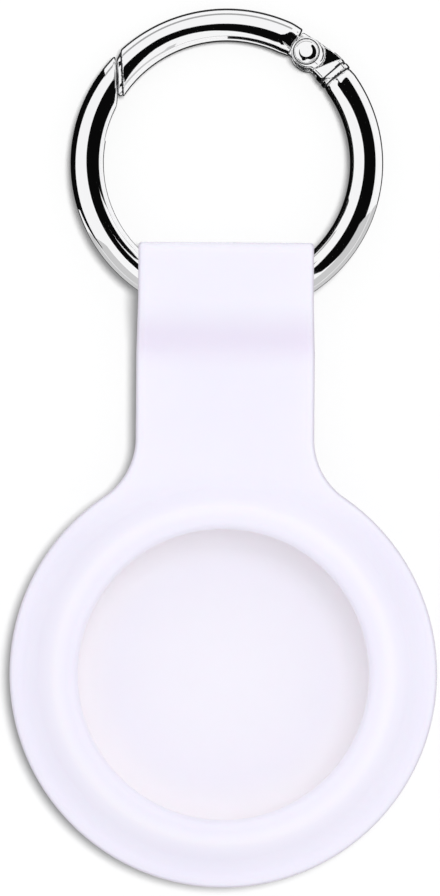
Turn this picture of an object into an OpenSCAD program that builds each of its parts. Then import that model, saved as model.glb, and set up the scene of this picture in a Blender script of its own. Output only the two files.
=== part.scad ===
// Tracker tag holder: a moulded silicone pocket with a strap and an eye, and a sprung gate ring.
// It lies on its back. Z is up, Y runs along the strap and the origin is under the pocket's centre.

/* [Tag] */
// Radius of the round tag that the pocket takes
tag_r = 15.95; // [15:0.05:17]
// Thickness of the tag
tag_t = 8; // [7.6:0.1:9]
// Clearance between the tag's rim and the pocket
tag_gap = 0.1; // [0:0.05:0.4]

/* [Pocket] */
// Thickness of the pocket's floor
floor_t = 1; // [0.8:0.1:1.4]
// Thickness of the lip that holds the tag in
lip_t = 1.2; // [1.2:0.1:1.8]
// How far the lip hangs over the tag's rim
lip_reach = 2.45; // [1.6:0.05:2.9]
// How far the tag's face stands into the window
tag_show = 0.6; // [0.2:0.1:1]
// Wall of the pocket where it is widest
wall_t = 1.45; // [1.2:0.05:1.8]
// Width of the flat crest on the lip
crest_w = 1.5; // [1:0.1:2]
// Width of the flange outside the pocket's wall
flange_w = 2.5; // [2.2:0.1:4]
// Thickness of the flange and the strap
sheet_t = 2.2; // [1.8:0.1:2.8]
// How far the flange's middle lies above the tag's middle
sheet_rise = 0.3; // [0:0.1:0.6]
// Rounding of the flange's and strap's edges
edge_round = 0.8; // [0.3:0.1:0.85]

/* [Strap] */
// Width of the strap
strap_w = 16.7; // [14:0.1:20]
// Radius of the fillets between the pocket and the strap
neck_round = 6.6; // [5:0.1:9]
// Length of the stretch that bends
strap_len = 8.1; // [6:0.1:14]

/* [Eye] */
// How far each side of the strap draws in towards the eye's end
eye_in = 0.15; // [0:0.05:0.3]
// Thickness of the eye
eye_t = 6.6; // [6.4:0.1:8]
// Length of the slope from the strap up to the eye
eye_slope = 5.2; // [4:0.1:7]
// Length of the eye past the slope
eye_len = 5.15; // [5:0.05:8]
// Rounding of the eye's long edges and its end
eye_round = 1; // [0.4:0.1:1.2]
// Rounding of the eye's corners seen from the front
eye_corner = 0.35; // [0.2:0.05:0.6]
// Height of the eye's slot
slot_h = 4.3; // [4:0.1:4.5]
// Wall between the slot and the eye's end
slot_end_wall = 1.4; // [1:0.1:1.8]

/* [Ring] */
// Radius of the ring at the middle of its wire
ring_r = 13.1; // [12.6:0.1:13.6]
// Radius of the ring's wire
wire_r = 1.56; // [1.5:0.01:1.6]
// Gap between the wire and the slot's near end
slot_gap = 0.29; // [0.2:0.01:0.6]
// Gap between the wire and the slot's lower wall
rest_gap = 0.18; // [0.1:0.01:0.3]
// Clearance round the wire where the slot opens out
mouth_gap = 0.15; // [0.1:0.01:0.2]

/* [Hinge] */
// Angle of the hinge pin round the ring
pin_angle = 54.7; // [50:0.1:58]
// Distance of the hinge pin inside the wire's middle
pin_inset = 0.33; // [0.25:0.01:0.4]
// Radius of the hinge pin
pin_r = 0.6; // [0.5:0.05:0.7]
// Radius of the pin's heads
head_r = 1.26; // [1.1:0.02:1.3]
// Height of each domed head
head_t = 0.32; // [0.2:0.02:0.36]
// Radius of the round end of the hinge cheeks
cheek_r = 1.42; // [1.38:0.01:1.46]
// How far that round end is drawn out towards the ring's collar
cheek_draw = 0.28; // [0:0.02:0.4]
// Thickness over both hinge cheeks
cheek_t = 2.76; // [2.6:0.02:2.9]
// Width of the slot between the cheeks
fork_w = 1.24; // [1.1:0.02:1.4]
// Radius of the slimmer wire at the hinge
slim_r = 1.31; // [1.28:0.01:1.38]
// Running clearance of the gate on its pin
pin_gap = 0.04; // [0.02:0.01:0.06]
// Side clearance of the gate's tongue
side_gap = 0.06; // [0.04:0.01:0.1]

/* [Gate] */
// Angle round the ring where the gate's end crosses the wire's middle
gate_angle = 138; // [132:0.5:142]
// Lean of the cut between gate and ring against the Y axis
cut_lean = 3.4; // [2:0.1:6]
// Length of the slimmer step at the gate's end
step_len = 0.62; // [0.5:0.02:0.8]
// Radius of the step's section
step_r = 1.45; // [1.4:0.01:1.48]
// Gap between the gate's step and the ring's nose
nose_gap = 0.1; // [0.08:0.01:0.14]
// Length of the flat tab at the gate's end
tab_len = 1.3; // [1:0.1:1.6]
// Thickness of the tab
tab_t = 1; // [0.8:0.05:1.2]
// Wall of the nose outside the tab, which stops the gate
nose_wall = 0.73; // [0.6:0.01:0.9]
// Slant of the gate's front and back where they run down to its tongue
taper_slant = 24; // [15:1:30]

/* [Spring] */
// Distance from the pin to the gate's tail end
tail_len = 1.5; // [1.45:0.01:1.6]
// Half width of the tail on its inner side
tail_inner = 1.05; // [1:0.01:1.1]
// Distance of the plunger's bore inside the pin
bore_inset = 0.45; // [0.42:0.01:0.5]
// Radius of the plunger's bore
bore_r = 0.66; // [0.62:0.01:0.68]
// Depth of the bore, measured from the pin
bore_end = 5.7; // [5.5:0.05:5.8]
// Clearance of the plunger in its bore
plunger_gap = 0.04; // [0.02:0.01:0.06]
// Length of the plunger
plunger_len = 1.5; // [1.3:0.05:1.6]
// Radius of the spring's wire
coil_wire_r = 0.1; // [0.08:0.01:0.11]
// Number of curls in the spring
coil_curls = 3.5; // [3:0.5:3.5]

/* [Hidden] */
$fn = 96;

// Heights in the pocket, from the back face
lip_z = floor_t + tag_t - tag_show;
top_z = lip_z + lip_t;
sheet_z = floor_t + tag_t / 2 + sheet_rise;
sheet_low = sheet_z - sheet_t / 2;
sheet_high = sheet_z + sheet_t / 2;

// Radii in the pocket
cavity_r = tag_r + tag_gap;
window_r = tag_r - lip_reach;
crest_r = window_r + crest_w;
bowl_r = cavity_r + wall_t;
groove_r = bowl_r + edge_round / 2;
flange_r = bowl_r + flange_w;
back_round = floor_t + wall_t * 2;
cavity_round = tag_t * 0.45;
shoulder_round = tag_t * 0.3;
crest_round = lip_t;
lip_round = lip_t * 0.7;
lip_under = lip_t * 0.25;
groove_round = edge_round * 0.6;
arc_steps = 8;

// Places along the strap
neck_x = strap_w / 2 + neck_round;
fillet_lap = edge_round / 8;
neck_y = sqrt(pow(flange_r + neck_round - fillet_lap, 2) - pow(neck_x, 2));
neck_in = (groove_r + flange_r) / 2 - groove_round;
neck_t = sheet_t - edge_round / 8;
eye_start = neck_y + strap_len;
eye_full = eye_start + eye_slope;
eye_end = eye_full + eye_len;
cut_over = 1;

// Slot in the eye, seen from the side
slot_low = sheet_z - slot_h / 2;
slot_end = eye_end - slot_end_wall;
slot_near_round = slot_h * 0.46;
slot_end_round = slot_h * 0.2;

// The ring leans: its far side lies on the table and its near side in the slot
lean = asin((slot_low + rest_gap) / (2 * ring_r));
slot_start = eye_start + eye_slope * 0.58;
ring_y = slot_start + slot_gap + wire_r + ring_r * cos(lean);
ring_z = wire_r + ring_r * sin(lean);
mouth_turn = 20;

// Angles round the ring, from the X axis
pin_at = ring_r - pin_inset;
slim_over = 3.2;
cheek_end = pin_angle + 5.6;
gate_start = cheek_end + 0.7;
gate_full = gate_start + 2.4;
bead_start = pin_angle - 16;
bead_end = pin_angle - 13.8;
bead_groove = 0.6;
bead_r = wire_r + 0.04;
bead_cut_r = wire_r - 0.16;
hinge_start = bead_start - bead_groove;
hinge_cheek = bead_end + bead_groove;

// Fork and tail, measured from the pin
fork_floor = tail_len + 0.6;
tongue_t = fork_w - 2 * side_gap;
tongue_out = tail_inner * 0.85;
shoulder_r = cheek_r + side_gap;
leg_r = pin_at - cheek_r * 0.3;
leg_angle = pin_angle - 8.7;

// The cut between gate and ring, where it crosses the wire's middle
cut_x = ring_r * cos(gate_angle);
cut_y = ring_r * sin(gate_angle);
tab_out_r = ring_r + wire_r - nose_wall - side_gap;

// Plunger and spring
plunger_r = bore_r - plunger_gap;
plunger_start = tail_len + plunger_gap;
coil_start = plunger_start + plunger_len;
coil_len = bore_end - coil_start;
coil_r = plunger_r - coil_wire_r;
coil_sides = 6;
coil_rings = 8;
coil_pitch = (coil_len - 2 * coil_wire_r) / coil_curls;
coil_gap = coil_pitch - 2 * coil_wire_r;
echo(least_gap_between_curls = coil_gap);

// A corner of a side profile, rounded by an arc: place, radius and the places before and after it
function corner_arc(before, at, after, radius) =
    let (a = (before - at) / norm(before - at))
    let (b = (after - at) / norm(after - at))
    let (half = acos(a * b) / 2)
    let (middle = at + (a + b) / norm(a + b) * radius / sin(half))
    let (first = at + a * radius / tan(half) - middle)
    let (last = at + b * radius / tan(half) - middle)
    let (begin = atan2(first[1], first[0]))
    let (turn = atan2(first[0] * last[1] - first[1] * last[0], first * last))
    [for (i = [0 : arc_steps]) let (t = begin + turn * i / arc_steps) middle + radius * [cos(t), sin(t)]];

// A closed outline with rounded corners, from a list of [x, y, radius]
function rounded(corners) =
    let (n = len(corners))
    [
        for (i = [0 : n - 1])
            let (c = corners[i], p = corners[(i + n - 1) % n], q = corners[(i + 1) % n])
            each (c[2] == 0 ? [[c[0], c[1]]]
                : corner_arc([p[0], p[1]], [c[0], c[1]], [q[0], q[1]], c[2]))
    ];

// A rectangle about the origin with rounded corners
function round_box(width, height, radius) = rounded([
    [-width / 2, -height / 2, radius],
    [width / 2, -height / 2, radius],
    [width / 2, height / 2, radius],
    [-width / 2, height / 2, radius]
]);

// Places the ring's own pieces: its centre, leaning about X
module on_ring() {
    translate([0, ring_y, ring_z])
        rotate([-lean, 0, 0])
            children();
}

// Places a piece at the hinge pin, with its X axis along the spring and Y axis to the ring's centre
module at_pin() {
    rotate([0, 0, pin_angle - 90])
        translate([0, pin_at, 0])
            mirror([0, 1, 0])
                children();
}

// Places a piece on the cut at the nose, with its X axis across the cut towards the nose
module at_cut(shift = 0) {
    translate([cut_x, cut_y, 0])
        rotate([0, 0, 180 + cut_lean])
            translate([shift, 0, 0])
                children();
}

// A stretch of round wire between two angles
module wire(radius, from, to) {
    rotate([0, 0, from])
        rotate_extrude(angle = to - from)
            translate([ring_r, 0])
                circle(r = radius);
}

// A flat sector of the ring's plane between two radii and two angles
module sector(inner, outer, from, to, height) {
    rotate([0, 0, from])
        rotate_extrude(angle = to - from)
            translate([inner, -height / 2])
                square([outer - inner, height]);
}

// Everything on the nose's side of the cut, as a block
module past_cut(shift, height) {
    size = ring_r;
    at_cut(shift)
        translate([0, -size / 2, -height / 2])
            cube([size, size, height]);
}

module pocket() {
    section = rounded([
        [0, 0, 0],
        [bowl_r, 0, back_round],
        [bowl_r, sheet_low, groove_round],
        [flange_r, sheet_low, edge_round],
        [flange_r, sheet_high, edge_round],
        [groove_r, sheet_high, groove_round],
        [crest_r, top_z, crest_round],
        [window_r, top_z, lip_round],
        [window_r, lip_z, lip_under],
        [cavity_r, lip_z, shoulder_round],
        [cavity_r, floor_t, cavity_round],
        [0, floor_t, 0]
    ]);
    color("ghostwhite") {
        rotate_extrude()
            polygon(section);
        neck();
    }
}

// The sheet between the flange and the strap, with a rounded fillet on each side
module neck() {
    flare = rounded([
        [0, -neck_t / 2 - cut_over, 0],
        [neck_round + edge_round, -neck_t / 2 - cut_over, 0],
        [neck_round + edge_round, -neck_t / 2, 0],
        [neck_round, -neck_t / 2, edge_round],
        [neck_round, neck_t / 2, edge_round],
        [neck_round + edge_round, neck_t / 2, 0],
        [neck_round + edge_round, neck_t / 2 + cut_over, 0],
        [0, neck_t / 2 + cut_over, 0]
    ]);
    difference() {
        translate([0, 0, sheet_z])
            linear_extrude(neck_t, center = true)
                difference() {
                    polygon([[0, 0], [neck_x, neck_y], [-neck_x, neck_y]]);
                    circle(r = neck_in);
                }
        for (side = [-1, 1])
            translate([side * neck_x, neck_y, sheet_z])
                rotate_extrude()
                    polygon(flare);
    }
}

// The stretch of the strap that bends
module strap() {
    color("ghostwhite")
        translate([0, eye_start, sheet_z])
            rotate([90, 0, 0])
                linear_extrude(strap_len)
                    polygon(round_box(strap_w, sheet_t, edge_round));
}

// Half thickness of the eye at a distance along it
function eye_half(y) =
    let (t = min(1, (y - eye_start) / eye_slope))
    let (rise = sheet_t / 2 + (eye_t - sheet_t) / 2 * t * t * (3 - 2 * t))
    let (past = max(0, y - (eye_end - eye_round)))
    rise - eye_round + sqrt(max(0, eye_round * eye_round - past * past));

// Half width of the eye at a distance along it
function eye_side(y) =
    let (t = min(1, (y - eye_start) / eye_slope))
    let (past = max(0, y - (eye_end - eye_corner)))
    strap_w / 2 - eye_in * t - eye_corner + sqrt(max(0, eye_corner * eye_corner - past * past));

slope_steps = 10;
end_steps = 6;
eye_places = concat(
    [for (i = [0 : slope_steps]) eye_start + eye_slope * i / slope_steps],
    [for (i = [0 : end_steps]) eye_end - eye_round + eye_round * sin(90 * i / end_steps)]
);

// The eye's outside, as one skin over its cross sections
module eye_block() {
    sections = [for (y = eye_places) round_box(2 * eye_side(y), 2 * eye_half(y), edge_round)];
    count = len(sections[0]);
    last = len(eye_places) - 1;
    points = [for (i = [0 : last]) for (p = sections[i]) [p[0], eye_places[i], sheet_z + p[1]]];
    sides = [
        for (i = [0 : last - 1]) for (k = [0 : count - 1])
            let (a = i * count + k, b = i * count + (k + 1) % count)
            each [[a, b, a + count], [b, b + count, a + count]]
    ];
    near = [for (k = [0 : count - 1]) count - 1 - k];
    far = [for (k = [0 : count - 1]) last * count + k];
    polyhedron(points, concat([near], sides, [far]));
}

module loop() {
    slot = rounded([
        [slot_start, slot_low, slot_near_round],
        [slot_end, slot_low, slot_end_round],
        [slot_end, slot_low + slot_h, slot_end_round],
        [slot_start, slot_low + slot_h, slot_near_round]
    ]);
    color("ghostwhite")
        difference() {
            eye_block();
            translate([-strap_w / 2 - cut_over, 0, 0])
                rotate([90, 0, 90])
                    linear_extrude(strap_w + 2 * cut_over)
                        polygon(slot);
            on_ring()
                wire(wire_r + mouth_gap, 180 + mouth_turn, 360 - mouth_turn);
        }
}

module ring_body() {
    color("silver")
        on_ring()
            difference() {
                union() {
                    difference() {
                        wire(wire_r, gate_angle - slim_over, 360 + hinge_start);
                        past_gate(step_len + nose_gap, 2 * ring_r);
                    }
                    wire(bead_cut_r, hinge_start - bead_groove, hinge_cheek + bead_groove);
                    wire(bead_r, bead_start, bead_end);
                    hinge_cheeks();
                }
                fork_slot();
                pin_hole(pin_r);
                plunger_bore();
                tab_slot();
            }
}

// What lies on the gate's side of the nose's face
module past_gate(shift, height) {
    size = ring_r;
    at_cut(shift)
        translate([-size, -size / 2, -height / 2])
            cube([size, size, height]);
}

// Slim wire with flat cheeks that end in a round eye about the pin
module hinge_cheeks() {
    intersection() {
        wire(slim_r, hinge_cheek, cheek_end);
        union() {
            sector(pin_at, ring_r + wire_r, hinge_cheek, cheek_end, 2 * wire_r);
            sector(ring_r - wire_r, pin_at + cut_over, hinge_cheek, pin_angle, 2 * wire_r);
            cheek_eye(2 * wire_r);
        }
    }
    intersection() {
        cheek_eye(cheek_t);
        sector(ring_r - wire_r, ring_r + slim_r, hinge_cheek, gate_full, cheek_t);
    }
    hinge_leg();
}

// The round end of the cheeks
module cheek_eye(height) {
    at_pin()
        for (shift = [0, cheek_draw])
            translate([shift, 0, 0])
                cylinder(r = cheek_r, h = height, center = true);
}

// The full wire that carries the cheeks, cut back on the ring's outside to clear the eye
module hinge_leg() {
    plan = [
        [0, 0],
        (ring_r + 2 * wire_r) * [cos(hinge_cheek), sin(hinge_cheek)],
        leg_r * [cos(leg_angle), sin(leg_angle)],
        pin_at * [cos(pin_angle), sin(pin_angle)]
    ];
    difference() {
        intersection() {
            wire(wire_r, hinge_cheek, pin_angle);
            linear_extrude(2 * wire_r + cut_over, center = true)
                polygon(plan);
        }
        cheek_eye(2 * wire_r + cut_over);
    }
}

module fork_slot() {
    at_pin()
        translate([-3 * wire_r, -2 * wire_r, -fork_w / 2])
            cube([3 * wire_r + fork_floor, 4 * wire_r, fork_w]);
}

module pin_hole(radius) {
    at_pin()
        cylinder(r = radius, h = 2 * wire_r + cut_over, center = true);
}

module plunger_bore() {
    at_pin()
        translate([0, bore_inset, 0])
            rotate([0, 90, 0])
                cylinder(r = bore_r, h = bore_end);
}

// The nose's slot for the gate's tab, open to the inside of the ring
module tab_slot() {
    intersection() {
        past_cut(step_len, tab_t + 2 * side_gap);
        past_gate(step_len + tab_len + nose_gap * 2, tab_t + 2 * side_gap);
        cylinder(r = tab_out_r + side_gap, h = tab_t + 2 * side_gap, center = true);
    }
}

module gate() {
    color("silver")
        on_ring()
            difference() {
                union() {
                    gate_arm();
                    gate_tongue();
                    gate_tab();
                }
                pin_hole(pin_r + pin_gap);
            }
}

// The gate's round arm, with a slimmer step at each end
module gate_arm() {
    difference() {
        union() {
            difference() {
                wire(wire_r, gate_start, gate_angle + slim_over * 3);
                past_cut(0, 2 * ring_r);
            }
            difference() {
                wire(step_r, gate_angle - slim_over * 3, gate_angle + slim_over * 4);
                past_cut(step_len, 2 * ring_r);
            }
        }
        at_pin()
            cylinder(r = shoulder_r, h = 3 * wire_r, center = true);
        shoulder_ramp();
        shoulder_taper();
    }
}

// A cut all round the gate's first stretch, which leaves a cone from the slim wire up to the full one
module shoulder_ramp() {
    length = ring_r * sin(gate_full - gate_start);
    widen = (wire_r - slim_r) / length;
    rotate([0, 0, gate_start])
        translate([ring_r, 0, 0])
            rotate([-90, 0, 0])
                difference() {
                    translate([0, 0, -wire_r])
                        cylinder(r = 2 * wire_r, h = length + wire_r);
                    cylinder(r1 = slim_r, r2 = slim_r + widen * (length + wire_r), h = length + wire_r);
                }
}

// A slanted cut on the gate's front and back, down to its tongue
module shoulder_taper() {
    at_pin()
        for (side = [0, 1])
            mirror([0, 0, side])
                translate([-2 * shoulder_r, -2 * wire_r, wire_r])
                    rotate([0, taper_slant, 0])
                        cube([3 * wire_r, 4 * wire_r, wire_r]);
}

// The flat tongue between the cheeks, with an eye about the pin and a tail for the plunger
module gate_tongue() {
    intersection() {
        sector(ring_r - wire_r, ring_r + slim_r, pin_angle, gate_full + slim_over, tongue_t);
        at_pin()
            translate([-2 * ring_r, -tongue_out, -tongue_t / 2])
                cube([2 * ring_r, tongue_out + tail_inner, tongue_t]);
    }
    at_pin() {
        cylinder(r = tail_inner, h = tongue_t, center = true);
        translate([0, -tongue_out, -tongue_t / 2])
            cube([tail_len, tongue_out + tail_inner, tongue_t]);
    }
}

// The flat tab that enters the ring's nose
module gate_tab() {
    intersection() {
        past_cut(0, tab_t);
        past_gate(step_len + tab_len, tab_t);
        sector(ring_r - wire_r * 0.9, tab_out_r, gate_angle - slim_over, gate_angle + slim_over * 6, tab_t);
    }
}

module hinge_pin() {
    color("gainsboro")
        on_ring()
            at_pin() {
                cylinder(r = pin_r, h = cheek_t, center = true);
                for (side = [0, 1])
                    mirror([0, 0, side])
                        translate([0, 0, cheek_t / 2])
                            pin_head();
            }
}

// A low domed head
module pin_head() {
    rotate_extrude()
        polygon(rounded([
            [0, 0, 0],
            [head_r, 0, 0],
            [head_r, head_t * 0.45, head_t * 0.4],
            [head_r / 2, head_t, head_r * 2],
            [0, head_t, 0]
        ]));
}

module plunger() {
    color("dimgray")
        on_ring()
            at_pin()
                translate([plunger_start, bore_inset, 0])
                    rotate([0, 90, 0])
                        rotate_extrude()
                            polygon(rounded([
                                [0, 0, 0],
                                [plunger_r, 0, plunger_r * 0.6],
                                [plunger_r, plunger_len, 0],
                                [0, plunger_len, 0]
                            ]));
}

// One unbroken coil between the plunger and the end of the bore
module gate_spring() {
    steps = ceil(coil_curls * coil_rings);
    turn = 360 * coil_curls;
    slope = atan(coil_pitch / (2 * PI * coil_r));
    points = [
        for (i = [0 : steps]) for (k = [0 : coil_sides - 1])
            let (a = turn * i / steps, w = 360 * k / coil_sides)
            let (out = coil_r + coil_wire_r * cos(w), up = coil_wire_r * sin(w))
            let (along = coil_wire_r + coil_pitch * coil_curls * i / steps + up * cos(slope))
            [along, out * cos(a) + up * sin(slope) * sin(a), out * sin(a) - up * sin(slope) * cos(a)]
    ];
    sides = [
        for (i = [0 : steps - 1]) for (k = [0 : coil_sides - 1])
            let (a = i * coil_sides + k, b = i * coil_sides + (k + 1) % coil_sides)
            each [[a, b, a + coil_sides], [b, b + coil_sides, a + coil_sides]]
    ];
    near = [for (k = [0 : coil_sides - 1]) coil_sides - 1 - k];
    far = [for (k = [0 : coil_sides - 1]) steps * coil_sides + k];
    color("gray")
        on_ring()
            at_pin()
                translate([coil_start, bore_inset, 0])
                    polyhedron(points, concat([near], sides, [far]));
}

pocket();
strap();
loop();
ring_body();
gate();
hinge_pin();
plunger();
gate_spring();
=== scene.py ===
import math
import bpy
import numpy as np
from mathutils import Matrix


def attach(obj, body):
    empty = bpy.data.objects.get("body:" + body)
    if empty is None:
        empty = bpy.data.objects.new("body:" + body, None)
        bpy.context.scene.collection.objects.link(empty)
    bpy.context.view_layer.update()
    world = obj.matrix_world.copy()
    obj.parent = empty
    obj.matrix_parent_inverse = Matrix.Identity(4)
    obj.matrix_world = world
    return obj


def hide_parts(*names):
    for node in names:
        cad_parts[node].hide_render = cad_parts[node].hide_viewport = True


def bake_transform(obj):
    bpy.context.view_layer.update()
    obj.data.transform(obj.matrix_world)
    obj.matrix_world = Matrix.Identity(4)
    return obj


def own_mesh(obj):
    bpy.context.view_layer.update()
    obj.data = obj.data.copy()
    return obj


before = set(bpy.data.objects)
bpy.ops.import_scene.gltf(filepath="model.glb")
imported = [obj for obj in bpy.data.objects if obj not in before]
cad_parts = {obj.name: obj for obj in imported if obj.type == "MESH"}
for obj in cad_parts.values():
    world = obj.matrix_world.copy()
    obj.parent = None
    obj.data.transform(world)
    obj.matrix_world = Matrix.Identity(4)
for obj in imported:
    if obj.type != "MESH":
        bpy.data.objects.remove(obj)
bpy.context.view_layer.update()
print("frame loaded:", len(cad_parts), "nodes")

mm = 0.001  # the shapes below are worked out in millimetres
away = 9.0  # a distance that stands for nowhere near

# a shape is a function that is negative inside it


def joined(a, b, radius):  # both shapes, with a round fillet between them
    u, v = np.maximum(radius - a, 0), np.maximum(radius - b, 0)
    return np.maximum(radius, np.minimum(a, b)) - np.hypot(u, v)


def shared(a, b, radius):  # only where both shapes are, with a rounded edge
    u, v = np.maximum(radius + a, 0), np.maximum(radius + b, 0)
    return np.minimum(-radius, np.maximum(a, b)) + np.hypot(u, v)


def eased(value, start, end):
    t = np.clip((value - start) / (end - start), 0, 1)
    return t * t * (3 - 2 * t)


def slopeOf(field, points, reach=0.004):
    x, y, z = points.T
    return np.stack([
        field(x + reach, y, z) - field(x - reach, y, z),
        field(x, y + reach, z) - field(x, y - reach, z),
        field(x, y, z + reach) - field(x, y, z - reach),
    ], 1) / (2 * reach)


def settle(field, points, rounds=4, most=0.08, least=0.05):  # moves points onto the surface
    for _ in range(rounds):
        slope = slopeOf(field, points)
        step = field(*points.T) / np.maximum((slope * slope).sum(1), least)
        points = points - np.clip(step, -most, most)[:, None] * slope
    return points


def netOver(field, axes, place, soft=0.004, relax=2):  # a net of four-sided faces over a field
    a, b, c = np.meshgrid(*axes, indexing="ij")
    values = field(*place(a, b, c))
    inside = values < 0
    size = np.array(values.shape)
    filled = np.zeros(size - 1, np.int8)
    for i in (0, 1):
        for j in (0, 1):
            for k in (0, 1):
                filled += inside[i:size[0] - 1 + i, j:size[1] - 1 + j, k:size[2] - 1 + k]
    cells = np.argwhere((filled > 0) & (filled < 8))
    number = np.full(size - 1, -1)
    number[tuple(cells.T)] = np.arange(len(cells))
    total, hits = np.zeros((len(cells), 3)), np.zeros(len(cells))
    for axis in range(3):
        for one in (0, 1):
            for two in (0, 1):
                start = cells.copy()
                start[:, (axis + 1) % 3] += one
                start[:, (axis + 2) % 3] += two
                end = start.copy()
                end[:, axis] += 1
                low, high = values[tuple(start.T)], values[tuple(end.T)]
                crossing = (low < 0) != (high < 0)
                spot = start.astype(float)
                spot[:, axis] += np.where(crossing, low / np.where(crossing, low - high, 1), 0)
                total += spot * crossing[:, None]
                hits += crossing
    spots = total / hits[:, None]
    points = np.stack(place(*[
        np.interp(spots[:, i], np.arange(size[i]), axes[i]) for i in range(3)
    ]), 1)
    quads = []
    for axis in range(3):
        one, two = (axis + 1) % 3, (axis + 2) % 3
        low = np.take(inside, range(size[axis] - 1), axis)
        high = np.take(inside, range(1, size[axis]), axis)
        edges = np.argwhere(low != high)
        keep = (edges[:, one] > 0) & (edges[:, two] > 0)
        keep &= (edges[:, one] < size[one] - 1) & (edges[:, two] < size[two] - 1)
        edges = edges[keep]
        around = []
        for stepOne, stepTwo in ((-1, -1), (0, -1), (0, 0), (-1, 0)):
            cell = edges.copy()
            cell[:, one] += stepOne
            cell[:, two] += stepTwo
            around.append(number[tuple(cell.T)])
        quad = np.stack(around, 1)
        turned = ~inside[tuple(edges.T)]
        quad[turned] = quad[turned][:, ::-1]
        quads.append(quad)
    quads = np.concatenate(quads)
    points = settle(field, points)
    for _ in range(relax):  # evens out the faces
        near, far = quads.ravel(), np.roll(quads, -1, 1).ravel()
        ends, starts = np.concatenate([near, far]), np.concatenate([far, near])
        count = np.bincount(ends, minlength=len(points))
        mean = np.stack([np.bincount(ends, points[starts, i], len(points)) for i in range(3)], 1)
        points = settle(field, points * 0.5 + mean / count[:, None] * 0.5, 2)
    normals = slopeOf(field, points, soft)
    normals /= np.linalg.norm(normals, axis=1)[:, None]
    return points, quads, normals


def straight(x, y, z):
    return x, y, z


def placed(name, data):
    piece = bpy.data.objects.new(name, data)
    bpy.context.scene.collection.objects.link(piece)
    return piece


def meshFrom(name, points, faces, normals):
    mesh = bpy.data.meshes.new(name)
    mesh.vertices.add(len(points))
    mesh.vertices.foreach_set("co", (points * mm).ravel())
    mesh.loops.add(faces.size)
    mesh.loops.foreach_set("vertex_index", faces.ravel())
    mesh.polygons.add(len(faces))
    mesh.polygons.foreach_set("loop_start", np.arange(0, faces.size, faces.shape[1]))
    mesh.update(calc_edges=True)
    mesh.validate()
    mesh.polygons.foreach_set("use_smooth", np.ones(len(mesh.polygons), bool))
    mesh.normals_split_custom_set_from_vertices(normals)
    print(name, len(points), "points", len(mesh.polygons), "faces")
    return placed(name, mesh)


sleeve = {
    "cell": 0.265,
    "net": ((-20.6, 20.6), (-20.6, 41), (-0.6, 10.2)),  # what the net covers along x, y and z
    "wallRadius": 17.5,
    "wallFrom": 4.6,  # from this height the wall widens by 1 mm
    "wallReach": 1.4,  # over this much height
    "slantFrom": 6.4,
    "backRound": 3.9,
    "grooveRadius": 17.9,
    "crestRadius": 15.0,
    "crestRound": 1.2,
    "topHeight": 9.6,
    "windowRadius": 13.5,
    "windowFrom": 4.0,
    "windowRound": 1.25,
    "lipHeight": 8.4,
    "lipUnder": 0.3,
    "roomRadius": 16.05,
    "roomFloor": 1.0,
    "roomRound": 4.6,
    "shoulderRound": 2.4,
    "flangeRadius": 20.0,
    "sheetMiddle": 5.3,
    "sheetHalf": 1.1,
    "edgeRound": 0.8,
    "grooveRound": 0.7,
    "halfWidth": 8.35,
    "neckX": 14.95,
    "neckRound": 6.6,
    "bendStart": 21.88,
    "eyeStart": 29.98,
    "eyeSlope": 5.2,
    "eyeHalf": 3.3,
    "eyeEnd": 40.33,
    "eyeIn": 0.15,
    "eyeRound": 1.0,
    "eyeCorner": 0.35,
    "slotStart": 32.996,
    "slotEnd": 38.93,
    "slotHalf": 2.15,
    "slotNearRound": 1.98,
    "slotFarRound": 0.86,
    "mouthRound": 0.25,
}
ring = {
    "centreY": 47.8401,
    "centreZ": 3.2248,
    "lean": math.radians(7.302),
    "radius": 13.1,
    "wire": 1.56,
    "mouthGap": 0.15,
    "sideGap": 0.06,  # beside the gate's tongue and tab
    "netAcross": 2,  # how far the net goes from the wire's middle
    "netHigh": 1.9,
}


def ringLocal(x, y, z):  # from the shared frame into the ring's own plane
    c, s = math.cos(ring["lean"]), math.sin(ring["lean"])
    y, z = y - ring["centreY"], z - ring["centreZ"]
    return x, y * c - z * s, y * s + z * c


def ringLeaned(points):  # directions, out of the ring's own plane
    c, s = math.cos(ring["lean"]), math.sin(ring["lean"])
    x, y, z = points.T
    return np.stack([x, y * c + z * s, -y * s + z * c], 1)


def ringWorld(points):  # and places
    return ringLeaned(points) + [0, ring["centreY"], ring["centreZ"]]


def sleevePlan(x, y):  # distance outside the outline, seen from above
    s = sleeve
    across, radial = np.abs(x), np.hypot(x, y)
    neckY = math.sqrt((s["flangeRadius"] + s["neckRound"]) ** 2 - s["neckX"] ** 2)
    side = across - s["halfWidth"] + s["eyeIn"] * np.clip((y - s["eyeStart"]) / s["eyeSlope"], 0, 1)
    fillet = s["neckRound"] - np.hypot(across - s["neckX"], y - neckY)
    inFillet = s["neckX"] * y > neckY * across
    return np.where(y >= neckY, side, np.where(inFillet, fillet, radial - s["flangeRadius"]))


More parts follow.
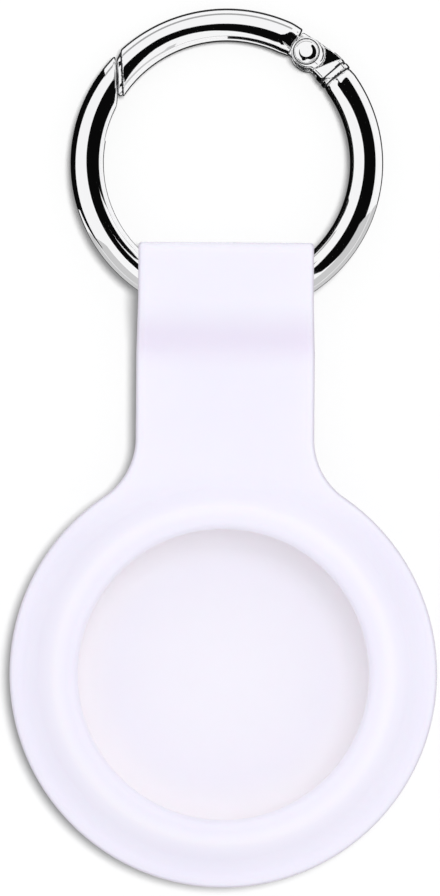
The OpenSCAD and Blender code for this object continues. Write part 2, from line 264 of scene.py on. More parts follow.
def sleeveField(x, y, z):
    s, radial = sleeve, np.hypot(x, y)
    # the bowl's outside
    wall = s["wallRadius"] + np.clip((z - s["wallFrom"]) / s["wallReach"], 0, 1)
    bowl = shared(radial - wall, -z, s["backRound"])
    rise, run = s["topHeight"] - s["slantFrom"], s["grooveRadius"] - s["crestRadius"]
    slant = (radial - s["grooveRadius"]) * rise + (z - s["slantFrom"]) * run
    slant = slant / math.hypot(rise, run)
    bowl = np.maximum(bowl, shared(slant, z - s["topHeight"], s["crestRound"]))
    # the sheet: flange, neck, strap and eye
    along = np.clip((y - s["eyeStart"]) / s["eyeSlope"], 0, 1)
    plan = sleevePlan(x, y)
    grow = s["eyeHalf"] - s["sheetHalf"]
    half = s["sheetHalf"] + grow * along * along * (3 - 2 * along)
    tilt = grow * 6 * along * (1 - along) / s["eyeSlope"]
    flat = (np.abs(z - s["sheetMiddle"]) - half) / np.sqrt(1 + tilt * tilt)
    end = y - s["eyeEnd"]
    sheet = np.maximum(shared(plan, flat, s["edgeRound"]), shared(end, flat, s["eyeRound"]))
    sheet = np.maximum(sheet, shared(plan, end, s["eyeCorner"]))
    body = joined(bowl, sheet, s["grooveRound"])
    # the room for the tag and the window over it
    room = shared(radial - s["roomRadius"], z - s["lipHeight"], s["shoulderRound"])
    room = shared(room, s["roomFloor"] - z, s["roomRound"])
    window = np.maximum(radial - s["windowRadius"], s["windowFrom"] - z)
    body = shared(body, -joined(room, window, s["lipUnder"]), s["windowRound"])
    # the slot, opened out round the ring's wire
    high = np.abs(z - s["sheetMiddle"]) - s["slotHalf"]
    slot = np.maximum(shared(s["slotStart"] - y, high, s["slotNearRound"]),
                      shared(y - s["slotEnd"], high, s["slotFarRound"]))
    rx, ry, rz = ringLocal(x, y, z)
    mouth = np.hypot(np.hypot(rx, ry) - ring["radius"], rz) - ring["wire"] - ring["mouthGap"]
    return shared(body, -joined(slot, mouth, s["mouthRound"]), s["mouthRound"])


def span(low, high, step):
    return np.linspace(low, high, int(math.ceil((high - low) / step)) + 1)


cell = sleeve["cell"] * 1
sleevePoints, faces, normals = netOver(
    sleeveField, [span(low, high, cell) for low, high in sleeve["net"]], straight)
sleeveSkin = meshFrom("sleeve_skin", sleevePoints, faces, normals)

# ring, gate and rivet are worked out in the ring's own plane

hinge = {
    "pinAngle": 54.7,
    "pinInset": 0.33,
    "pinRadius": 0.6,
    "headRadius": 1.15,
    "headHeight": 0.36,
    "headFlat": 0.55,
    "headBend": 0.72,
    "headRound": 0.08,
    "headSink": 0.1,  # how far head and washer go into the cheek
    "washerReach": 0.12,
    "washerHeight": 0.07,
    "washerRound": 0.05,
    "gapFrom": 0.005,  # the painted dark gap starts this far outside the head
    "rivetNet": ((-1.45, 1.45), (-1.45, 1.45), (-1.85, 1.85)),
    "cheekRadius": 1.42,
    "cheekDraw": 0.28,
    "cheekHalf": 1.38,
    "cheekEnd": 60.3,
    "cheekRound": 0.1,
    "cheekJoin": 0.05,
    "wireRound": 0.1,  # where the wire ends
    "forkHalf": 0.62,
    "forkFloor": 2.1,
    "roomFrom": 380,  # degrees round the ring
    "roomRound": 0.05,
    "slim": 1.31,
    "slimReach": 16,
    "innerSide": (13.5, 12.7),
    "innerKeep": 0.6,  # how much of its slimming the inner side does without
    "armSlim": 0.1,
    "armEase": (61.0, 66.0),
    "armRound": 0.12,
    "armCut": 0.08,
    "tailLength": 1.5,
    "tailInner": 1.05,
    "tailOuter": 0.8925,
    "tongueBack": 3.0,
    "tongueUntil": 90,  # degrees round the ring
    "tongueRound": 0.06,
    "pinGap": 0.04,
    "facetAt": (5.39, 11.92),
    "facetFall": (0.1, -0.33),
    "facetUntil": 85,  # degrees round the ring
    "facetRound": 0.06,
    "stemFrom": 38.8,  # the flat from the collar to the rivet starts here, in degrees
    "stemRadii": (11.75, 14.25),
    "stemHeight": 1.5,
    "stemFall": 0.055,
    "stemRound": 0.25,
    "stemClear": (85, 8.65),  # out of the eye when the ring is turned this far
    "scoopFrom": 385,  # degrees round the ring
    "scoopHeight": 1.16,
    "scoopSlope": 10.0,
    "scoopTurn": -5.0,
    "scoopBoss": (0.25, 1.6),  # centre and radius of the boss that it leaves
    "scoopCorner": (1.85, -0.52),  # its inner corner, along and outward from the pin
    "scoopEnd": (3.1, 1.5),
    "scoopRound": 0.04,
    "boreInset": 0.45,
    "boreRadius": 0.66,
    "boreEnd": 5.7,
}
collar = {
    "start": 38.4,
    "end": 41.2,
    "lines": ((41.2, 0.62, 0.09), (38.4, 0.42, 0.06)),  # place, half width and depth
    "lineBack": 0.25,
    "lineDark": 0.8,  # how much of a line's half width is painted dark
    "beadRise": 0.03,
    "beadEase": 0.6,
    "ease": 3.4,
    "easeStop": 0.4,
    "fall": 0.07,
}
nose = {
    "angle": 138.0,
    "lean": 3.4,
    "faceUntil": 180,  # degrees round the ring
    "stepFrom": 2,  # before the cut
    "stepLength": 0.62,
    "armLength": 0.2,  # the arm ends here, past the cut, and the step goes on
    "line": (0.1, 0.27),
    "stepRadius": 1.5,
    "stepSlope": 0.5,
    "stepRound": 0.12,
    "gap": 0.1,
    "slotUntil": 170,  # degrees round the ring
    "slotRound": 0.05,
    "tabRoot": 0.4,
    "tabFrom": 120,  # degrees round the ring
    "tabLength": 1.3,
    "tabHalf": 0.5,
    "tabIn": 12.05,
    "tabOut": 13.87,
    "bodyRound": 0.28,
    "gateRound": 0.16,
}


def fromPin(x, y):  # along the spring, and towards the ring's centre
    turn = math.radians(hinge["pinAngle"] - 90)
    along = x * math.cos(turn) + y * math.sin(turn)
    outward = -x * math.sin(turn) + y * math.cos(turn)
    return along, ring["radius"] - hinge["pinInset"] - outward


def pinPoint():
    turn, out = math.radians(hinge["pinAngle"]), ring["radius"] - hinge["pinInset"]
    return out * math.cos(turn), out * math.sin(turn)


def pastCut(x, y):  # distance past the cut between gate and ring, towards the nose
    angle, turn = math.radians(nose["angle"]), math.radians(180 + nose["lean"])
    x, y = x - ring["radius"] * math.cos(angle), y - ring["radius"] * math.sin(angle)
    return x * math.cos(turn) + y * math.sin(turn)


def degreesRound(x, y, low):
    return low + (np.degrees(np.arctan2(y, x)) - low) % 360


def bodyField(x, y, z):
    radial, angle = np.hypot(x, y), degreesRound(x, y, 100)
    along, inward = fromPin(x, y)
    cut = pastCut(x, y)
    collarAngle = angle - 360
    wire = ring["wire"] + 0 * angle
    for line, half, depth in collar["lines"]:  # a long slope and a short one
        fall = np.clip((line + half - collarAngle) / (2 * half), 0, 1)
        back = np.clip((line - half - collarAngle) / collar["lineBack"], 0, 1)
        wire = wire - depth * (fall - back)
    between = eased(collarAngle, collar["start"], collar["start"] + collar["beadEase"])
    between *= 1 - eased(collarAngle, collar["end"] - collar["beadEase"], collar["end"])
    wire = wire + collar["beadRise"] * between
    before = eased(collarAngle, collar["start"] - collar["ease"], collar["start"] - collar["easeStop"])
    wire = wire - collar["fall"] * before * (collarAngle < collar["start"])
    # past the collar the wire slims towards the hinge, and less so on its inner side
    past = eased(collarAngle, collar["end"], collar["end"] + hinge["slimReach"])
    innerSide = eased(radial, *hinge["innerSide"])
    wire = wire - (ring["wire"] - hinge["slim"]) * past * (1 - hinge["innerKeep"] * innerSide)
    tube = np.hypot(radial - ring["radius"], z) - wire
    # where the wire ends at the hinge
    stop = np.radians(collarAngle - hinge["pinAngle"]) * radial
    outer = np.maximum(np.radians(collarAngle - hinge["cheekEnd"]) * radial,
                       ring["radius"] - hinge["pinInset"] - radial)
    tube = shared(tube, np.minimum(stop, outer), hinge["wireRound"])
    # the flat from the collar to the rivet
    reach = np.radians(collarAngle - hinge["stemFrom"]) * radial
    top = np.abs(z) - hinge["stemHeight"] + hinge["stemFall"] * reach
    tube = np.maximum(tube, np.where(reach > 0, top, -away))
    drawn = along - np.clip(along, 0, hinge["cheekDraw"])
    eye = np.hypot(drawn, inward) - hinge["cheekRadius"]
    head = shared(eye, np.abs(z) - hinge["cheekHalf"], hinge["cheekRound"])
    whole = joined(tube, head, hinge["cheekJoin"])
    low, high = hinge["stemRadii"]
    stem = shared(np.maximum(low - radial, radial - high), top, hinge["stemRound"])
    turned, side = hinge["stemClear"]
    clear = side - radial * np.cos(np.radians(collarAngle - turned))
    stem = np.maximum(np.maximum(stem, clear), np.maximum(-reach, stop))
    whole = np.minimum(whole, stem)
    # the scoop beside the boss, which mirrors the dark side of the room
    turn = math.radians(hinge["scoopTurn"])
    px, py = pinPoint()
    drop = math.tan(math.radians(hinge["scoopSlope"]))
    level = hinge["scoopHeight"] - drop * ((x - px) * math.cos(turn) + (y - py) * math.sin(turn))
    bossMiddle, bossRadius = hinge["scoopBoss"]
    boss = np.hypot(along - bossMiddle, inward) - bossRadius
    (a0, o0), (a1, o1) = hinge["scoopCorner"], hinge["scoopEnd"]
    edge = (along - a0) * (o1 - o0) - (-inward - o0) * (a1 - a0)
    edge = edge / math.hypot(a1 - a0, o1 - o0)
    scoop = np.maximum(np.maximum(level - np.abs(z), -boss), edge)
    scoop = np.where(angle > hinge["scoopFrom"], scoop, away)
    whole = shared(whole, -scoop, hinge["scoopRound"])
    # the nose's face
    face = np.where(angle < nose["faceUntil"], nose["stepLength"] + nose["gap"] - cut, -away)
    whole = shared(whole, face, nose["bodyRound"])
    # room for the gate's tongue, the pin, the plunger and the gate's tab
    fork = np.maximum(np.abs(z) - hinge["forkHalf"], along - hinge["forkFloor"])
    bore = np.maximum(np.hypot(inward - hinge["boreInset"], z) - hinge["boreRadius"],
                      np.maximum(-along, along - hinge["boreEnd"]))
    hollow = np.minimum(fork, np.hypot(along, inward) - hinge["pinRadius"])
    hollow = np.where(angle > hinge["roomFrom"], np.minimum(hollow, bore), away)
    whole = shared(whole, -hollow, hinge["roomRound"])
    slot = np.maximum(np.abs(z) - nose["tabHalf"] - ring["sideGap"],
                      cut - nose["stepLength"] - nose["tabLength"] - 2 * nose["gap"])
    slot = np.maximum(slot, radial - nose["tabOut"] - ring["sideGap"])
    slot = np.where(angle < nose["slotUntil"], slot, away)
    return shared(whole, -slot, nose["slotRound"])


def gateField(x, y, z):
    radial, angle = np.hypot(x, y), degreesRound(x, y, -80)
    along, inward = fromPin(x, y)
    cut = pastCut(x, y)
    armStart, armFull = hinge["armEase"]
    wire = ring["wire"] - hinge["armSlim"] * (1 - eased(angle, armStart, armFull))
    arm = np.hypot(radial - ring["radius"], z) - wire
    arm = shared(arm, cut - nose["armLength"], nose["gateRound"])
    arm = shared(arm, np.radians(armStart - angle) * radial, hinge["armRound"])
    step = np.hypot(radial - ring["radius"], z) - nose["stepRadius"]
    step = step + nose["stepSlope"] * np.clip(cut, 0, nose["stepLength"])
    step = shared(np.maximum(step, -cut - nose["stepFrom"]), cut - nose["stepLength"], nose["stepRound"])
    arm = np.minimum(arm, step)
    eye = np.hypot(along, inward) - hinge["cheekRadius"] - ring["sideGap"]
    arm = shared(arm, -eye, hinge["armCut"])
    # the slanted flat at the arm's hinge end
    (fx, fy), (sx, sy) = hinge["facetAt"], hinge["facetFall"]
    facet = np.abs(z) - ring["wire"] + sx * (x - fx) + sy * (y - fy)
    facet = facet / math.sqrt(1 + sx * sx + sy * sy)
    facet = np.where(angle < hinge["facetUntil"], facet, -away)
    arm = shared(arm, facet, hinge["facetRound"])
    # the tongue between the cheeks, with its tail
    tongueHalf = hinge["forkHalf"] - ring["sideGap"]
    plate = np.maximum(np.maximum(along - hinge["tailLength"], -hinge["tongueBack"] - along),
                       np.maximum(inward - hinge["tailInner"], -hinge["tailOuter"] - inward))
    plate = np.minimum(plate, np.hypot(along, inward) - hinge["tailInner"])
    tongue = shared(plate, np.abs(z) - tongueHalf, hinge["tongueRound"])
    hole = hinge["pinRadius"] + hinge["pinGap"] - np.hypot(along, inward)
    tongue = shared(tongue, hole, hinge["pinGap"])
    tongue = np.where(angle < hinge["tongueUntil"], tongue, away)
    # the tab that goes into the nose
    tabEnd = nose["stepLength"] + nose["tabLength"]
    tab = np.maximum(np.abs(z) - nose["tabHalf"], np.maximum(cut - tabEnd, -cut - nose["tabRoot"]))
    tab = np.maximum(tab, np.maximum(radial - nose["tabOut"], nose["tabIn"] - radial))
    tab = np.where(angle > nose["tabFrom"], tab, away)
    return np.minimum(np.minimum(arm, tongue), tab)


def polarPlace(radial, angle, height):
    turn = np.radians(angle)
    return radial * np.cos(turn), radial * np.sin(turn), height


fine, coarse, step = ((0.35, 1.0, 0.09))


def ringPiece(name, field, start, one, two, end):  # fine near both ends, and coarse between them
    across = span(ring["radius"] - ring["netAcross"], ring["radius"] + ring["netAcross"], step)
    angles = np.concatenate([span(start, one, fine), span(one, two, coarse)[1:], span(two, end, fine)[1:]])
    high = span(-ring["netHigh"], ring["netHigh"], step)
    points, faces, normals = netOver(field, [across, angles, high], polarPlace, 0.04)
    return meshFrom(name, ringWorld(points), faces, ringLeaned(normals))


ringSkin = ringPiece("ring_skin", bodyField, 135, 150, 393, 423)
gateSkin = ringPiece("gate_skin", gateField, 45, 70, 130, 148)


def rivetField(x, y, z):
    radial, up = np.hypot(x, y), np.abs(z)
    base, flat, bend = hinge["cheekHalf"], hinge["headFlat"], hinge["headBend"]
    out = np.maximum(radial - flat, 0)
    dome = np.hypot(out, up - base - hinge["headHeight"] + bend) - bend
    head = shared(dome, radial - hinge["headRadius"], hinge["headRound"])
    sunk = base - hinge["headSink"] - up
    head = np.maximum(head, sunk)
    washer = shared(radial - hinge["headRadius"] - hinge["washerReach"],
                    up - base - hinge["washerHeight"], hinge["washerRound"])
    shaft = np.maximum(radial - hinge["pinRadius"], up - base)
    return np.minimum(np.minimum(head, shaft), np.maximum(washer, sunk))


rivetStep = 0.05
points, faces, normals = netOver(
    rivetField, [span(low, high, rivetStep) for low, high in hinge["rivetNet"]], straight)
points = ringWorld(points + [*pinPoint(), 0])
rivetSkin = meshFrom("rivet_skin", points, faces, ringLeaned(normals))

coil = {
    "start": 3.05,  # along the bore from the pin
    "end": 5.69,
    "radius": 0.52,
    "wire": 0.1,
    "curls": 6,
    "closedPitch": 0.21,  # of the curls that lie close at each end
    "closedCurls": (0.8, 1.3),  # where they stop and where the open ones start
    "steps": 28,  # in one curl
    "travel": 0.42,  # the plunger's longest way
}


def borePoint(along, inward=0.0, up=0.0):  # from the pin's frame into the shared frame
    turn, out = math.radians(hinge["pinAngle"] - 90), ring["radius"] - hinge["pinInset"] - inward
    along, out, up = np.broadcast_arrays(along, out, up)
    flat = np.stack([along * math.cos(turn) - out * math.sin(turn),
                     along * math.sin(turn) + out * math.cos(turn), up], -1).reshape(-1, 3)
    return ringWorld(flat)


def springCoil():  # round wire with closed ends
    turns = np.linspace(0, coil["curls"], coil["curls"] * coil["steps"] + 1)
    closing, opened = coil["closedCurls"]
    free = eased(turns, closing, opened)
    free = free * (1 - eased(turns, coil["curls"] - opened, coil["curls"] - closing))
    length = coil["end"] - coil["start"] - 2 * coil["wire"]
    closed = coil["closedPitch"] * coil["curls"]
    pitch = coil["closedPitch"] + (length - closed) / free.mean() / coil["curls"] * free
    along = np.concatenate([[0], np.cumsum((pitch[1:] + pitch[:-1]) / 2)])
    along = coil["start"] + coil["wire"] + along * length / along[-1]
    around = turns * 2 * math.pi
    points = borePoint(along, hinge["boreInset"] + coil["radius"] * np.cos(around),
                       coil["radius"] * np.sin(around))
    curve = bpy.data.curves.new("coil_path", "CURVE")
    curve.dimensions = "3D"
    curve.bevel_depth = coil["wire"] * mm
    curve.bevel_resolution = 3
    curve.use_fill_caps = True
    path = curve.splines.new("POLY")
    path.points.add(len(points) - 1)
    for knot, place in zip(path.points, points):
        knot.co = (*(place * mm), 1)
    holder = bpy.data.objects.new("coil_path", curve)
    mesh = bpy.data.meshes.new_from_object(holder)
    bpy.data.objects.remove(holder)
    mesh.polygons.foreach_set("use_smooth", np.ones(len(mesh.polygons), bool))
    print("spring_coil", len(mesh.vertices), "points", len(mesh.polygons), "faces")
    return placed("spring_coil", mesh)


springSkin = springCoil()
print("shapes made")


def setInputs(node, values):
    for name, value in values.items():
        node.inputs[name].default_value = value


def grainGroup():
    group = bpy.data.node_groups.new("fineGrain", "ShaderNodeTree")
    group.interface.new_socket("Scale", in_out="INPUT", socket_type="NodeSocketFloat")
    for name in ("Height", "Cloud"):
        group.interface.new_socket(name, in_out="OUTPUT", socket_type="NodeSocketFloat")
    nodes, links = group.nodes, group.links
    given, out = nodes.new("NodeGroupInput"), nodes.new("NodeGroupOutput")
    place = nodes.new("ShaderNodeTexCoord")
    grain, cloud = nodes.new("ShaderNodeTexNoise"), nodes.new("ShaderNodeTexNoise")
    setInputs(grain, {"Detail": 3, "Roughness": 0.6})
    setInputs(cloud, {"Scale": 90, "Detail": 2})
    links.new(place.outputs["Object"], grain.inputs["Vector"])
    links.new(place.outputs["Object"], cloud.inputs["Vector"])
    links.new(given.outputs["Scale"], grain.inputs["Scale"])
    links.new(grain.outputs["Fac"], out.inputs["Height"])
    links.new(cloud.outputs["Fac"], out.inputs["Cloud"])
    return group


fineGrain = grainGroup()


def newMaterial(name):
    material = bpy.data.materials.new(name)
    material.use_nodes = True
    nodes = material.node_tree.nodes
    return material, nodes, material.node_tree.links, nodes["Principled BSDF"]


def ramp(nodes, stops):
    node = nodes.new("ShaderNodeValToRGB")
    marks = node.color_ramp.elements
    while len(marks) < len(stops):
        marks.new(0.5)
    for mark, (place, colour) in zip(marks, stops):
        mark.position = place
        mark.color = (*colour, 1)
    return node


def spread(nodes, low, high):  # maps 0 to 1 onto a range
    node = nodes.new("ShaderNodeMapRange")
    node.inputs["To Min"].default_value = low
    node.inputs["To Max"].default_value = high
    return node


def grainMaterial(name, look):
    material, nodes, links, shader = newMaterial(name)
    grain = nodes.new("ShaderNodeGroup")
    grain.node_tree = fineGrain
    grain.inputs["Scale"].default_value = look["grainScale"]
    tint = ramp(nodes, [(0.3, look["dark"]), (0.7, look["light"])])
    links.new(grain.outputs["Cloud"], tint.inputs["Fac"])
    links.new(tint.outputs["Color"], shader.inputs["Base Color"])
    rough = spread(nodes, *look["roughness"])
    links.new(grain.outputs["Cloud"], rough.inputs["Value"])
    links.new(rough.outputs["Result"], shader.inputs["Roughness"])
    bump = nodes.new("ShaderNodeBump")
    bump.inputs["Strength"].default_value = look["bump"]
    bump.inputs["Distance"].default_value = look["bumpDepth"] * mm
    links.new(grain.outputs["Height"], bump.inputs["Height"])
    links.new(bump.outputs["Normal"], shader.inputs["Normal"])
    setInputs(shader, look["shader"])
    return material, nodes, links, shader


silicone = {
    "grainScale": 9000.0,
    "light": (0.882, 0.864, 0.99),
    "dark": (0.868, 0.848, 0.98),
    "roughness": (0.50, 0.62),
    "bump": 0.12,
    "bumpDepth": 0.02,
    # painted light: the pocket's inside is coloured lighter to lift its shade
    "paintedPocketLight": (0.925, 0.90, 1.0),
    # painted light, lighter and pinker, in the shade under the pocket's lip
    "paintedUnderLipLight": (1.0, 0.955, 0.99),
    "corner": (9.5, 14.0),
    "pocketEdge": (16.4, 14.6),
    "pocketRim": (9.2, 8.1),
    # painted shade in the crease before the eye
    "paintedCreaseShade": (0.838, 0.79, 0.93),
    "creaseAt": 31.2,
    "creaseReach": 3.0,
    # painted shade along the thin outer edge; the flange and crest shades below darken with this colour
    # too
    "paintedEdgeShade": (0.60, 0.57, 0.65),
    "edgeReach": 0.3,
    "flange": (15.6, 17.4),
    "flangeEnd": (18, 12),
    "flangeShade": 0.12,
    "crest": (15.4, 14.4),
    "crestHeight": (8.9, 9.3),
    "crestShade": 0.12,
    "shader": {
        "Specular IOR Level": 0.28,
        "Subsurface Weight": 0.4,
        "Subsurface Radius": (1.0, 0.82, 0.88),
        "Subsurface Scale": 1.1 * mm,
        "Sheen Weight": 0.05,
    },
}
siliconeLook, nodes, links, shader = grainMaterial("silicone", silicone)


def tinted(colour, mask, tint):
    node = nodes.new("ShaderNodeMix")
    node.data_type = "RGBA"
    links.new(mask, node.inputs[0])
    links.new(colour, node.inputs[6])
    node.inputs[7].default_value = (*tint, 1)
    return node.outputs[2]


# painted light inside the pocket and, lighter and pinker, in the shade under its lip; painted shade at the
# crease before the eye, along the thin edge and, a little, on the flange and the crest
x, y, z = sleevePoints.T
radial = np.hypot(x, y)
middle, reach = silicone["creaseAt"], silicone["creaseReach"]
masks = np.ones((len(x), 4), np.float32)
masks[:, 0] = eased(radial, *silicone["pocketEdge"]) * eased(z, *silicone["pocketRim"])
masks[:, 1] = eased(np.abs(y - middle), reach, 0)
masks[:, 3] = masks[:, 0] * eased(radial, *silicone["corner"])
flange = eased(radial, *silicone["flange"]) * eased(y, *silicone["flangeEnd"])
crest = eased(radial, *silicone["crest"]) * eased(z, *silicone["crestHeight"])
shade = silicone["flangeShade"] * flange + silicone["crestShade"] * crest
masks[:, 2] = np.maximum(eased(sleevePlan(x, y), -silicone["edgeReach"], 0), shade)
attribute = sleeveSkin.data.attributes.new("masks", "FLOAT_COLOR", "POINT")
attribute.data.foreach_set("color", masks.ravel())
given, parts = nodes.new("ShaderNodeAttribute"), nodes.new("ShaderNodeSeparateColor")
given.attribute_name = "masks"
links.new(given.outputs["Color"], parts.inputs[0])
colour = shader.inputs["Base Color"].links[0].from_socket
for mask, tint in ((parts.outputs[1], "paintedCreaseShade"), (parts.outputs[0], "paintedPocketLight"),
                   (given.outputs["Alpha"], "paintedUnderLipLight"), (parts.outputs[2], "paintedEdgeShade")):
    colour = tinted(colour, mask, silicone[tint])
links.new(colour, shader.inputs["Base Color"])

chrome = {
    "grainScale": 2500.0,
    "light": (0.93, 0.93, 0.935),
    "dark": (0.90, 0.90, 0.91),
    "roughness": (0.03, 0.06),
    "bump": 0.01,
    "bumpDepth": 0.005,
    "shader": {"Metallic": 1.0},
}
paintedShade = {  # painted shade: the dark turned lines, the line at the nose and the gap round the rivet
    "grainScale": 4000.0,
    "light": (0.03, 0.03, 0.032),
    "dark": (0.012, 0.012, 0.014),
    "roughness": (0.42, 0.6),
    "bump": 0.1,
    "bumpDepth": 0.005,
    "shader": {"Specular IOR Level": 0.2},
}
steel = {  # the plunger and the coil
    "grainScale": 6000.0,
    "light": (0.62, 0.62, 0.63),
    "dark": (0.48, 0.48, 0.49),
    "roughness": (0.22, 0.38),
    "bump": 0.1,
    "bumpDepth": 0.01,
    "shader": {"Metallic": 1.0},
}
chromeLook, paintedShadeLook, steelLook = (
    grainMaterial(name, look)[0]
    for name, look in (("ring_metal", chrome), ("paintedShade", paintedShade), ("spring_steel", steel)))

for piece, look in ((sleeveSkin, siliconeLook), (ringSkin, chromeLook), (gateSkin, chromeLook),
                    (rivetSkin, chromeLook), (springSkin, steelLook)):
    piece.data.materials.append(look)


def darken(piece, chosen):  # paints shade on the faces that are chosen, with the dark look
    mesh = piece.data
    mesh.materials.append(paintedShadeLook)
    centres = np.empty(len(mesh.polygons) * 3)
    mesh.polygons.foreach_get("center", centres)
    x, y, z = ringLocal(*(centres.reshape(-1, 3).T / mm))
    mesh.polygons.foreach_set("material_index", chosen(x, y, z).astype(np.int32))
    mesh.update()


def turnedLine(x, y, z):
    angle = degreesRound(x, y, -180)
    return sum(np.abs(angle - line) < half * collar["lineDark"] for line, half, _ in collar["lines"]) > 0


def rivetGap(x, y, z):
    px, py = pinPoint()
    return np.hypot(x - px, y - py) > hinge["headRadius"] + hinge["gapFrom"]


def noseLine(x, y, z):
    cut, (low, high) = pastCut(x, y), nose["line"]
    return (cut > low) & (cut < high) & (degreesRound(x, y, 0) > nose["tabFrom"])


# painted shade on the turned lines, the nose line and the rivet's gap
darken(ringSkin, turnedLine)
darken(gateSkin, noseLine)
darken(rivetSkin, rivetGap)
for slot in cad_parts["plunger"].material_slots:
    slot.material = steelLook
print("materials made")

# how the pieces move
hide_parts("pocket", "strap", "loop")
sleeveSkin.visible_glossy = False  # the ring mirrors the studio only
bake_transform(sleeveSkin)
for piece, node, body in ((ringSkin, "ring_body", "ring"), (gateSkin, "gate", "gate"),
                          (rivetSkin, "hinge_pin", "ring")):
    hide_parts(node)
    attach(piece, body)
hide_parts("gate_spring")
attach(springSkin, "ring")
boreEnd, boreStart = borePoint(coil["end"])[0], borePoint(coil["start"])[0]
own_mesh(springSkin)


def card(name, corners, front, back=None, faces=None):  # a card that only gloss can see
    mesh = bpy.data.meshes.new(name)
    corners = [[v * mm for v in corner] for corner in corners]
    mesh.from_pydata(corners, [], faces or [list(range(len(corners)))])
    piece = placed(name, mesh)
    look = bpy.data.materials.new(name)
    look.use_nodes = True
    nodes, links = look.node_tree.nodes, look.node_tree.links
    nodes.clear()
    side, mix = nodes.new("ShaderNodeNewGeometry"), nodes.new("ShaderNodeMixShader")
    links.new(side.outputs["Backfacing"], mix.inputs[0])
    for number, value in enumerate((front, front if back is None else back), 1):
        glow = nodes.new("ShaderNodeEmission")
        glow.inputs["Color"].default_value = (value, value, value, 1)
        links.new(glow.outputs[0], mix.inputs[number])
    out = nodes.new("ShaderNodeOutputMaterial")
    links.new(mix.outputs[0], out.inputs["Surface"])
    mesh.materials.append(look)
    for ray in ("camera", "diffuse", "transmission", "shadow", "volume_scatter"):
        setattr(piece, "visible_" + ray, False)


studio = {
    "ambient": 0.845,
    "keyStrength": 0.70,
    "keyAngle": 24,
    "keyTilt": 13,
    "keyTurn": 55,
    "tableHalf": 3,  # metres
    "tableDrop": 0.02,
    "tableColour": 0.2,
    "tableGlow": 0.17,
    "tableStrength": 10.8,
    "tableAngle": 11,
    "tableTilt": 7,
    "tableTurn": 32,
    "overhead": [(-16, -3), (-17, 14), (-13, 22), (-9, 30), (-4, 26), (0, 20), (4, 19), (10, 21.5),
                 (14, 31), (34, 60), (60, 85), (85, 70), (120, 40), (125, -10), (120, -42), (101, -37),
                 (68, -28), (50, -29), (36, -28), (24, -18), (15, -8), (10, -7), (7, -14),
                 (2, -28), (-3, -34), (-14, -45), (-28, -54), (-22, -30), (-13, -8)],
    "overheadHeight": 50,
    "floorHeight": 0.05,
    "outlineHeight": 0.03,
    "innerReach": 11.5,
    "innerArc": range(-60, 46, 5),
    "innerEnds": (-10, 6),
    "black": 0.003,
    "outline": 0.03,
    "grey": 0.62,
}
ringY = ring["centreY"]


def bandOn(name, inner, outer, start, end, value, height, top=None, faceDegrees=4):
    # a flat or, with a top, an upright stretch of band round the ring's centre;
    # a pair of heights runs from the start to the end
    count = max(2, int((end - start) / faceDegrees))
    part = np.linspace(0, 1, count + 1)
    turns = np.radians(start + (end - start) * part)
    points = []
    for reach, level in ((inner, height), (outer, height if top is None else top)):
        levels = np.interp(part, (0, 1), level if isinstance(level, tuple) else (level, level))
        points += [(reach * math.cos(t), ringY + reach * math.sin(t), h) for t, h in zip(turns, levels)]
    faces = [(i, i + 1, count + 2 + i, count + 1 + i) for i in range(count)]
    card(name, points, value, faces=faces)


# the cards are painted reflections that only the chrome sees; the dark flat ones on the table stand in for
# its shade round the ring
card("overhead_card", [(x, ringY + y, studio["overheadHeight"]) for x, y in studio["overhead"]],
     studio["black"])
black, grey, outline = studio["black"], studio["grey"], studio["outline"]
floor, line = studio["floorHeight"], studio["outlineHeight"]
# name, inner and outer reach, start and end in degrees, brightness, height, and the top of an upright one
bands = [
    ("left_wall", 20.7, 20.7, 142, 197, black, 0, 4.6),
    ("left_tail", 20.7, 20.7, 197, 213, black, (0.5, 5.2), (4.7, 5.9)),
    ("left_floor", 13, 20.7, 142, 197, black, floor),
    ("far_band", 90, 90, 60, 138, 0.4, 4, 24),
    ("grey_wall_left", 40, 40, 206, 238, grey, 2, 30),
    ("grey_floor_left", 17.2, 40, 206, 238, grey, floor),
    ("grey_wall_right", 40, 40, 300, 346, grey, 2, 30),
    ("grey_floor_right", 17.2, 40, 300, 346, grey, floor),
    ("outer_outline", 13, 18, 0, 360, outline, line),
    ("inner_outline", 9.2, 13, 45, 300, outline, line),
]
for band in bands:
    bandOn(*band)
arc, reach = [math.radians(v) for v in studio["innerArc"]], studio["innerReach"]
near, far = studio["innerEnds"]
card("inner_floor", [(0, ringY + near, floor)]
     + [(reach * math.cos(t), ringY + reach * math.sin(t), floor) for t in arc]
     + [(0, ringY + far, floor)], black)
# upright cards, white on the back; where the first end is the lower one, the front looks right
for name, x, first, last, low, high, front in (("low_flag", 0, -9, 5, 0.1, 3.7, black),
                                               ("tall_flag", 7, 6.2, -1.3, 3.4, 23, black),
                                               ("side_flag", 7, -1.3, -8, 9.5, 36, 1.0)):
    card(name, [(x, ringY + first, low), (x, ringY + last, low),
                (x, ringY + last, high), (x, ringY + first, high)], front, 1.0)

# the table: white, and it keeps the object's shadow
mesh, half = bpy.data.meshes.new("table"), studio["tableHalf"]
corners = [(-half, -half, 0), (half, -half, 0), (half, half, 0), (-half, half, 0)]
mesh.from_pydata(corners, [], [(0, 1, 2, 3)])
table = placed("table", mesh)
table.location.z = -studio["tableDrop"] * mm
tableLook, nodes, links, shader = newMaterial("table")
setInputs(shader, {
    "Base Color": (*[studio["tableColour"]] * 3, 1),
    "Emission Color": (1, 1, 1, 1),
    "Emission Strength": studio["tableGlow"],
    "Roughness": 1,
    "Specular IOR Level": 0,
})
mesh.materials.append(tableLook)

world = bpy.data.worlds.new("studio")
bpy.context.scene.world = world
world.use_nodes = True
nodes, links = world.node_tree.nodes, world.node_tree.links
nodes.clear()
mix, out = nodes.new("ShaderNodeMixShader"), nodes.new("ShaderNodeOutputWorld")
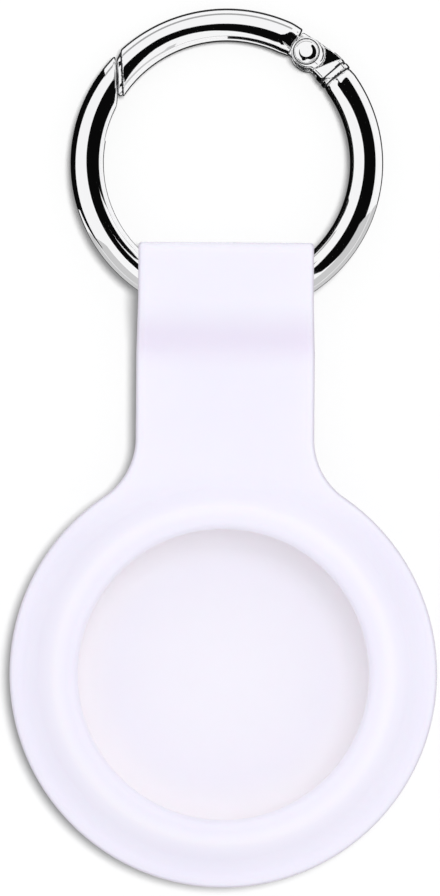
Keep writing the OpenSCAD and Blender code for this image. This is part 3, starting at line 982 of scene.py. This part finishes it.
# the first strength lights the object, and the second is what the camera and reflections see
for number, strength in enumerate((studio["ambient"], 1), 1):
    glow = nodes.new("ShaderNodeBackground")
    setInputs(glow, {"Color": (1, 1, 1, 1), "Strength": strength})
    links.new(glow.outputs[0], mix.inputs[number])
path = nodes.new("ShaderNodeLightPath")
seen = path.outputs["Is Camera Ray"]
for ray in ("Is Glossy Ray", "Is Transmission Ray"):
    added = nodes.new("ShaderNodeMath")
    added.operation = "ADD"
    added.use_clamp = True
    links.new(seen, added.inputs[0])
    links.new(path.outputs[ray], added.inputs[1])
    seen = added.outputs[0]
links.new(seen, mix.inputs[0])
links.new(mix.outputs[0], out.inputs["Surface"])


def sun(name, strength, angle, tilt, turn):
    lamp = bpy.data.lights.new(name, "SUN")
    lamp.energy = strength
    lamp.angle = math.radians(angle)
    piece = placed(name, lamp)
    piece.rotation_euler = (0, math.radians(tilt), math.radians(turn))
    piece.visible_glossy = False
    return piece


# one sun lights the object, and the other only the table, where it draws the narrow shadow
objectSun = sun("object_sun", studio["keyStrength"], studio["keyAngle"],
                studio["keyTilt"], studio["keyTurn"])
tableSun = sun("table_sun", studio["tableStrength"], studio["tableAngle"],
               studio["tableTilt"], studio["tableTurn"])
for lamp, state in ((objectSun, "EXCLUDE"), (tableSun, "INCLUDE")):
    lit = bpy.data.collections.new(lamp.name + "_on")
    lit.objects.link(table)
    lamp.light_linking.receiver_collection = lit
    lit.collection_objects[0].light_linking.link_state = state

shot = {
    "distance": 1100,
    "scale": 0.0936,  # millimetres in a pixel
    "width": 440,
    "height": 896,
    "discPixel": (223.3, 673.7),
    "roll": 0.40,
    "levelHeight": 5.0,  # where the scale holds
    "sensor": 36,
    "clip": (0.05, 10),  # metres
}
camera = bpy.data.cameras.new("camera")
cameraObject = placed("camera", camera)
bpy.context.scene.camera = cameraObject
tall = shot["height"] * shot["scale"]
camera.sensor_width = shot["sensor"]
camera.lens = shot["sensor"] * (shot["distance"] - shot["levelHeight"]) / tall
camera.clip_start, camera.clip_end = shot["clip"]
roll = math.radians(shot["roll"])
right = (shot["width"] / 2 - shot["discPixel"][0]) * shot["scale"]
up = (shot["discPixel"][1] - shot["height"] / 2) * shot["scale"]
cameraObject.location = ((right * math.cos(roll) - up * math.sin(roll)) * mm,
                         (right * math.sin(roll) + up * math.cos(roll)) * mm,
                         shot["distance"] * mm)
cameraObject.rotation_euler = (0, 0, roll)

bpy.context.scene.view_settings.view_transform = "Standard"
print("stage set")
